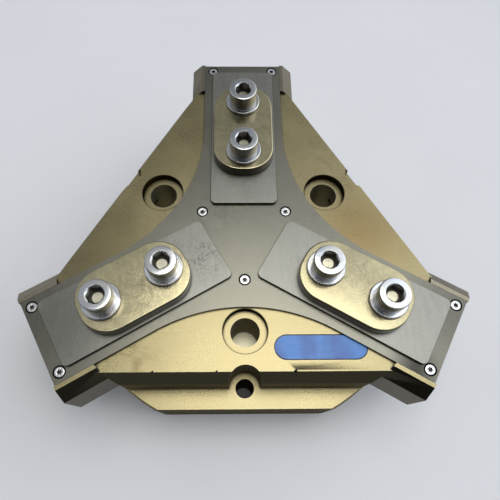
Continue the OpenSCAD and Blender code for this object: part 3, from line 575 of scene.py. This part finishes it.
def steepenSideBevels(vertices):  # moves their lower edges down and leaves their upper edges in place
    for vertex in vertices:
        down = max(-vertex.co.dot(way) for way in outward.values()) - body["bevelStart"]
        if down <= body["weld"] or abs(topFace - vertex.co.z - down) >= body["near"]:
            continue
        if abs(vertex.co.z - body["armBevel"]) < body["near"]:  # slides along the arm into the notch
            arm = max(outward.values(), key=vertex.co.dot)
            vertex.co -= arm * (vertex.co.dot(arm) - body["notch"])
        else:
            vertex.co.z = topFace - down * body["bevelSlope"]


def inBore(at, normal):
    beside = any((at.xy - Vector(spot)).length < body["boreReach"] for spot in boreSpots)
    return beside and at.z < topFace - body["boreDepth"]


def onLedge(at, normal):
    if at.z <= body["armLow"] or (at.y <= body["front"] and normal.z >= body["topLean"]):
        return False
    return any(at.dot(outward[jaw]) > body["ledgeOut"] and abs(at.dot(across[jaw])) > body["ledgeSide"]
               for jaw in jaws)


def onFrontBevel(at, normal):
    leanLow, leanHigh = body["bevelLean"]
    high = at.z > topFace - body["bevelDepth"]
    return high and at.y < body["front"] and normal.y < body["bevelForward"] and leanLow < normal.z < leanHigh


def inNick(at, normal):
    return abs(normal.z) < body["nickLean"] and any(
        (at - Vector((x, y, topFace))).length < body["nickReach"] * size for x, y, size in body["nicks"])


def inSeat(at, normal):  # the walls and floor of the label's seat
    gap = body["seatGap"]
    inside = seatLow.x - gap < at.x < seatHigh.x + gap and seatLow.y - gap < at.y < seatHigh.y + gap
    return inside and seatLow.z - gap < at.z < seatHigh.z - gap


housing = machinedCopy("housing", "bodyHousing")
for x, y, size in body["nicks"]:  # knocks along the front edge of the top face
    bpy.ops.object.select_all(action="DESELECT")
    turn = [radians(angle) for angle in body["nickTurn"]]
    bpy.ops.mesh.primitive_cube_add(size=size, location=(x, y, topFace), rotation=turn)
    nick = bpy.context.active_object
    edit(nick)
    bpy.ops.transform.resize(value=body["nickStretch"])
    leave()
    cutOut(housing, nick)
steepenSideBevels(housing.data.vertices)
edit(housing)
bpy.ops.mesh.remove_doubles(threshold=body["weld"])
bpy.ops.mesh.delete_loose()
leave()
softenEdges(housing, body["edge"])
paint(housing, goldMetal)
# the bores get painted light; the front bevel, the nicks and the label seat get painted shade
for finish, test in ((boreLitMetal, inBore), (ledgeMetal, onLedge), (frontBevelShadeMetal, onFrontBevel),
                     (recessShade, inNick), (recessShade, inSeat)):
    paintFaces(housing, finish, test)
dress(housing, None, "body", "housing")


# what is screwed to the body

covers = {"starEdge": 0.0002, "endEdge": 0.0002, "cylinderEdge": 0.0003, "screwEdge": 0.00008}
labelPlate = {"fit": (0.982, 0.93, 1.0), "edge": 0.0001}  # the film leaves a fine gap round itself

starCover = machinedCopy("star_cover", "starCover", covers["starEdge"])
dress(starCover, coverMetal, "body", "star_cover")
for jaw in jaws:
    endCover = machinedCopy("end_cover_" + jaw, "endCover_" + jaw, covers["endEdge"])
    dress(endCover, endMetal, "body", "end_cover_" + jaw)
label = machinedCopy("label_plate", "labelPlate")
edit(label)
bpy.ops.transform.resize(value=labelPlate["fit"], center_override=(seatLow + seatHigh) / 2)
leave()
softenEdges(label, labelPlate["edge"])
dress(label, labelBlue, "body", "label_plate")
cylinderCover = machinedCopy("cylinder_cover", "cylinderCover", covers["cylinderEdge"])
dress(cylinderCover, plainAluminium, "body", "cylinder_cover")
for node, name in (("end_cover_screws", "endCoverScrews"), ("cylinder_cover_screws", "cylinderCoverScrews")):
    screws = machinedCopy(node, name, covers["screwEdge"])
    dress(screws, smallScrew, "body", node)

coverScrew = {
    "head": 0.00262, "rim": 0.00018, "cone": 0.0014, "shank": 0.00145, "reach": 0.007, "edge": 0.00006,
    "core": 0.00082, "lobe": 0.00042, "lobeRing": 0.00092, "depth": 0.0015,
    "dark": (0.00135, -0.0018, -0.00008),  # the recess that gets the painted shade: its radius, lowest and highest point
    "steps": 48, "turnStep": 0.7,  # no two recesses line up
}
head = coverScrew["head"]
rim = coverScrew["rim"]
shank = coverScrew["shank"]
masterScrew = turned("masterScrew", [
    (0, -coverScrew["reach"]), (shank, -coverScrew["reach"]), (shank, -coverScrew["cone"]),
    (head, -2 * rim), (head, -rim), (head - rim, 0), (0, 0)], coverScrew["steps"])
ring = coverScrew["lobeRing"]
cuts = [(0, 0, coverScrew["core"])]
for lobe in range(6):
    cuts.append((ring * cos(pi * lobe / 3), ring * sin(pi * lobe / 3), coverScrew["lobe"]))
for x, y, radius in cuts:  # a six-lobe recess
    bpy.ops.object.select_all(action="DESELECT")
    bpy.ops.mesh.primitive_cylinder_add(
        vertices=20, radius=radius, depth=2 * coverScrew["depth"], location=(x, y, 0))
    cutOut(masterScrew, bpy.context.active_object)
softenEdges(masterScrew, coverScrew["edge"], angle=34, segments=2)
paint(masterScrew, smallScrew)


def inRecess(at, normal):
    radius, low, high = coverScrew["dark"]
    return at.xy.length < radius and low < at.z < high


def corners(piece):  # the lowest and highest point of its mesh
    points = [vertex.co for vertex in piece.data.vertices]
    return [Vector([limit(point[axis] for point in points) for axis in range(3)]) for limit in (min, max)]


paintFaces(masterScrew, recessShade, inRecess)
seats = machinedCopy("cover_screws", "seats")
edit(seats)
bpy.ops.mesh.separate(type="LOOSE")
leave()
heads = []
for number, seat in enumerate([piece for piece in bpy.data.objects if piece.name.startswith("seats")]):
    low, high = corners(seat)
    spot = Vector((*(low + high).xy / 2, high.z))
    heads.append(place(masterScrew, "head", spot, number * coverScrew["turnStep"]))
    bpy.data.objects.remove(seat)
bpy.data.objects.remove(masterScrew)
dress(joined(heads, "coverScrews"), None, "body", "cover_screws")
print("body dressed")


# slide plates and adapters, one set for each jaw

plate = {
    "edge": 0.0002,
    "stains": {
        "a": [((0.0, 0.035, 0.082), 0.02, 0.2, 260)],
        "b": [(alongJaw("b", 0.026, 0.002, plateTop["b"]), 0.02, 0.75, 330),
              (alongJaw("b", 0.04, -0.009, plateTop["b"]), 0.012, 0.6, 420)],
        "c": [(alongJaw("c", 0.03, 0, plateTop["c"]), 0.016, 0.2, 300)],
    },
    # painted shade over the outer end of plate b
    "soft": {"a": [], "b": [(alongJaw("b", 0.105, 0, plateTop["b"]), 0.05, 0.35, "shade")], "c": []},
}
adapter = {
    "edge": 0.0003, "boltOut": 0.066, "boltGap": 0.035,
    # each jaw's adapter tones scaled lighter: painted light
    "paintedLight": {"a": 1.25, "b": 1.2, "c": 1.0},
    "stains": {
        "a": [((0.0, 0.066, 0.089), 0.03, 0.3, 120)],
        "b": [(alongJaw("b", 0.06, 0.004, 0.089), 0.03, 0.3, 140)],
        "c": [(alongJaw("c", 0.066, 0.006, 0.089), 0.03, 0.25, 140)],
    },
}

for jaw, turn in jaws.items():
    rides = "jaw_" + jaw
    lined = {"lineTurn": -radians(turn)}  # the sanding lines run across each plate
    marks = {"stains": plate["stains"][jaw], "soft": plate["soft"][jaw]}
    plateMetal = blastedMetal("plateSteel_" + jaw, {**plateFinish, **lined, **marks})
    slidePlate = machinedCopy("slide_plate_" + jaw, "slidePlate_" + jaw, plate["edge"])
    dress(slidePlate, plateMetal, rides, "slide_plate_" + jaw)
    # the adapter tones lightened for this jaw: painted light
    paintedLight = adapter["paintedLight"][jaw]
    toned = {tone: [part * paintedLight for part in adapterFinish[tone]] for tone in ("dark", "light", "fleck")}
    marks = {"stains": adapter["stains"][jaw]}
    adapterMetal = blastedMetal("adapterAnodised_" + jaw, {**adapterFinish, **toned, **lined, **marks})
    jawAdapter = machinedCopy("jaw_adapter_" + jaw, "jawAdapter_" + jaw, adapter["edge"])
    dress(jawAdapter, adapterMetal, rides, "jaw_adapter_" + jaw)
print("plates and adapters dressed")


# one bolt and one washer, copied to each place

bolt = {
    "radius": 0.008, "height": 0.010, "crown": 0.0007, "crownCurve": 0.3, "foot": 0.0003, "edge": 0.00012,
    "thread": 0.005, "core": 0.0042, "pitch": 0.0015, "crest": (0.4, 0.6), "reach": 0.025, "shank": 0.004,
    "tip": 0.0008,
    "key": 0.008, "socket": 0.0055, "drill": 0.0006, "drillRadius": 0.0032, "drillOver": 0.0001,
    "mouth": 0.0049, "mouthDepth": 0.0006, "mouthSpare": 0.0002, "mouthUnder": 0.0005,
    "wallSpare": 0.00005, "wallUnder": 0.0002, "floorUnder": 0.00008,  # which faces of the socket get painted shade and the pale floor
    "turns": {"a": (0.1, -0.3), "b": (0.5, 0.15), "c": (-0.2, 0.42)},  # no two sockets line up
    "steps": 72, "drillSteps": 48,
}
washer = {
    "outer": 0.010, "inner": 0.00525, "thickness": 0.002, "rim": 0.0004, "innerFoot": 0.0002,
    "innerTop": 0.0003, "edge": 0.00009, "steps": 72,
}

r = bolt["radius"]
h = bolt["height"]
thread = bolt["thread"]
core = bolt["core"]
crown = bolt["crown"]
curve = crown * bolt["crownCurve"]
profile = [(0, -bolt["reach"]), (core - bolt["tip"] / 2, -bolt["reach"])]
height = -bolt["reach"] + bolt["tip"]
while height + bolt["pitch"] < -bolt["shank"]:  # thread crests and roots
    crestLow, crestHigh = (height + bolt["pitch"] * part for part in bolt["crest"])
    profile += [(core, height), (thread, crestLow), (thread, crestHigh)]
    height += bolt["pitch"]
profile += [
    (core, height), (thread, -bolt["shank"]), (thread, 0), (r - bolt["foot"], 0), (r, bolt["foot"]),
    (r, h - crown), (r - curve, h - curve), (r - crown, h), (0, h),
]
masterBolt = turned("masterBolt", profile, bolt["steps"])

hexCorner = bolt["key"] / 2 / cos(pi / 6)
socketFloor = h - bolt["socket"]
bpy.ops.object.select_all(action="DESELECT")
bpy.ops.mesh.primitive_cylinder_add(
    vertices=6, radius=hexCorner, depth=2 * bolt["socket"], location=(0, 0, h))
cutOut(masterBolt, bpy.context.active_object)
drillTop = socketFloor + bolt["drillOver"]
cutOut(masterBolt, turned("drillPoint", [
    (0, socketFloor - bolt["drill"]), (bolt["drillRadius"], drillTop), (0, drillTop)], bolt["drillSteps"]))
spare = bolt["mouthSpare"]
under = bolt["mouthUnder"]
mouthFloor = h - bolt["mouthDepth"] - under
cutOut(masterBolt, turned("socketMouth", [
    (0, mouthFloor), (bolt["mouth"] - bolt["mouthDepth"] - under, mouthFloor),
    (bolt["mouth"] + spare, h + spare), (0, h + spare)], bolt["steps"]))
softenEdges(masterBolt, bolt["edge"], angle=32, segments=2)


def onSocketWall(at, normal):
    low = socketFloor - bolt["wallUnder"]
    return at.xy.length < hexCorner + bolt["wallSpare"] and low < at.z < h - bolt["mouthDepth"]


def onSocketFloor(at, normal):
    return at.xy.length < bolt["drillRadius"] and 0 < at.z < socketFloor - bolt["floorUnder"]


paint(masterBolt, zinc)
# the socket's sides get painted shade
paintFaces(masterBolt, recessShade, onSocketWall)
paintFaces(masterBolt, recessFloor, onSocketFloor)

outer = washer["outer"]
inner = washer["inner"]
thick = washer["thickness"]
rim = washer["rim"]
masterWasher = turned("masterWasher", [
    (inner, washer["innerFoot"]), (inner + washer["innerFoot"], 0), (outer - rim, 0), (outer, rim),
    (outer, thick - rim), (outer - rim, thick), (inner + washer["innerTop"], thick),
    (inner, thick - washer["innerTop"]), (inner, washer["innerFoot"])], washer["steps"])
softenEdges(masterWasher, washer["edge"], angle=25, segments=2)

for jaw, turn in jaws.items():
    heads = []
    rings = []
    for side, spin in zip((-1, 1), bolt["turns"][jaw]):
        spot = alongJaw(jaw, adapter["boltOut"] + side * adapter["boltGap"] / 2, 0, washerTop[jaw])
        heads.append(place(masterBolt, "head", spot, radians(turn) + spin))
        rings.append(place(masterWasher, "ring", spot - Vector((0, 0, thick)), spin))
    dress(joined(heads, "jawBolts_" + jaw), None, "jaw_" + jaw, "jaw_bolts_" + jaw)
    dress(joined(rings, "washers_" + jaw + "_turned"), zinc, "jaw_" + jaw, "washers_" + jaw)
for master in (masterBolt, masterWasher):
    bpy.data.objects.remove(master)
print("bolts and washers placed")


# inner parts keep their own shape

innerParts = {
    "cylinder_cover_seal": rubber, "rod_seal": rubber, "piston_seal": rubber,
    "piston_guide_ring": ringPlastic, "piston": plainAluminium,
    "wedge_hook": hardSteel, "hook_screw": hardSteel,
}
for jaw in jaws:
    innerParts["window_seal_" + jaw] = rubber
    innerParts["base_jaw_" + jaw] = hardSteel
    innerParts["centring_sleeves_" + jaw] = smallScrew
for node, finish in innerParts.items():
    frame["nodes"][node].material_slots[0].material = finish
print("inner parts finished")


# floor, light and camera

stage = {
    "floorSize": 24, "floor": (0.86, 0.86, 0.89), "fleck": (0.83, 0.83, 0.86), "rough": 0.65,
    "cloudScale": 9, "grainScale": 900, "grainDepth": 0.00004,
}
lamp = {"place": (0.06, 0.09, 1.35), "wide": 0.74, "deep": 0.72, "power": 5.5, "tint": (1.0, 0.985, 0.93)}
sky = {
    "level": 0.42, "tint": (0.95, 1.0, 1.07, 1), "backdrop": (0.66, 0.68, 0.72, 1),
    "right": 1.15, "rightSpan": (0.0, 0.5),  # brighter on the right, darker in front and behind
    "front": 0.12, "frontSpan": (-0.65, 0.05),
    "back": 0.6, "backSpan": (0.4, 0.7),
}
view = {
    "place": (-0.00497, -0.10712, 0.31085), "elevation": 67.21, "azimuth": -1.84, "roll": 1.51,
    "lens": 32.85, "sensor": 36, "shiftX": 0.018, "clip": (0.01, 50),
}

bpy.ops.object.select_all(action="DESELECT")
bpy.ops.mesh.primitive_plane_add(size=stage["floorSize"], location=(0, 0, cadBox[0].z))
floor = bpy.context.active_object
floor.name = "studioFloor"
paper = look("palePaper")
paperCloud = paper.span(paper.noise(stage["cloudScale"], 4), 0.3, 0.7)
paperTone = paper.blend(paperCloud, stage["fleck"], stage["floor"])
paperGrain = paper.bump(paper.noise(stage["grainScale"], 2), stage["grainDepth"])
paint(floor, paper.finish(paperTone, stage["rough"], paperGrain, metal=0.0))

bpy.ops.object.light_add(type="AREA", location=lamp["place"])
softbox = bpy.context.active_object
softbox.name = "softbox"
softbox.data.shape = "RECTANGLE"
softbox.data.color = lamp["tint"]
softbox.data.size = lamp["wide"]
softbox.data.size_y = lamp["deep"]
softbox.data.energy = lamp["power"]
softbox.rotation_euler = Vector(lamp["place"]).to_track_quat("Z", "Y").to_euler()

world = bpy.data.worlds.new("studio")
bpy.context.scene.world = world
world.use_nodes = True
air = nodeWork(world.node_tree)
way = air.add("ShaderNodeSeparateXYZ")
air.feed(way.inputs[0], air.add("ShaderNodeTexCoord").outputs["Generated"])
side = air.span(way.outputs["X"], *sky["rightSpan"], sky["level"], sky["level"] + sky["right"], soft=True)
front = air.span(way.outputs["Y"], *sky["frontSpan"], sky["front"], 1, soft=True)
behind = air.span(way.outputs["Y"], *sky["backSpan"], 1, sky["back"], soft=True)
glow = air.add("ShaderNodeBackground")
air.feed(glow.inputs["Color"], sky["tint"])
air.feed(glow.inputs["Strength"], air.calc("MULTIPLY", air.calc("MULTIPLY", side, front), behind))
backdrop = air.add("ShaderNodeBackground")
air.feed(backdrop.inputs["Color"], sky["backdrop"])
shown = air.add("ShaderNodeMixShader")  # seen directly, the sky is a plain pale backdrop
air.feed(shown.inputs["Fac"], air.add("ShaderNodeLightPath").outputs["Is Camera Ray"])
air.feed(shown.inputs[1], glow.outputs[0])
air.feed(shown.inputs[2], backdrop.outputs[0])
air.feed(air.add("ShaderNodeOutputWorld").inputs["Surface"], shown.outputs[0])

az, el, roll = (radians(view[key]) for key in ("azimuth", "elevation", "roll"))
back = Vector((sin(az) * cos(el), -cos(az) * cos(el), sin(el)))
right = (-back).cross(Vector((0, 0, 1))).normalized()
up = right.cross(-back)
tiltedRight = right * cos(roll) + up * sin(roll)
tiltedUp = up * cos(roll) - right * sin(roll)
bpy.ops.object.camera_add()
camera = bpy.context.active_object
camera.name = "camera"
aim = Matrix((tiltedRight, tiltedUp, back)).transposed().to_4x4()
camera.matrix_world = Matrix.Translation(view["place"]) @ aim
camera.data.lens = view["lens"]
camera.data.sensor_width = view["sensor"]
camera.data.shift_x = view["shiftX"]
camera.data.clip_start, camera.data.clip_end = view["clip"]
bpy.context.scene.camera = camera
bpy.context.scene.view_settings.view_transform = "Standard"
print("stage, light and camera set")
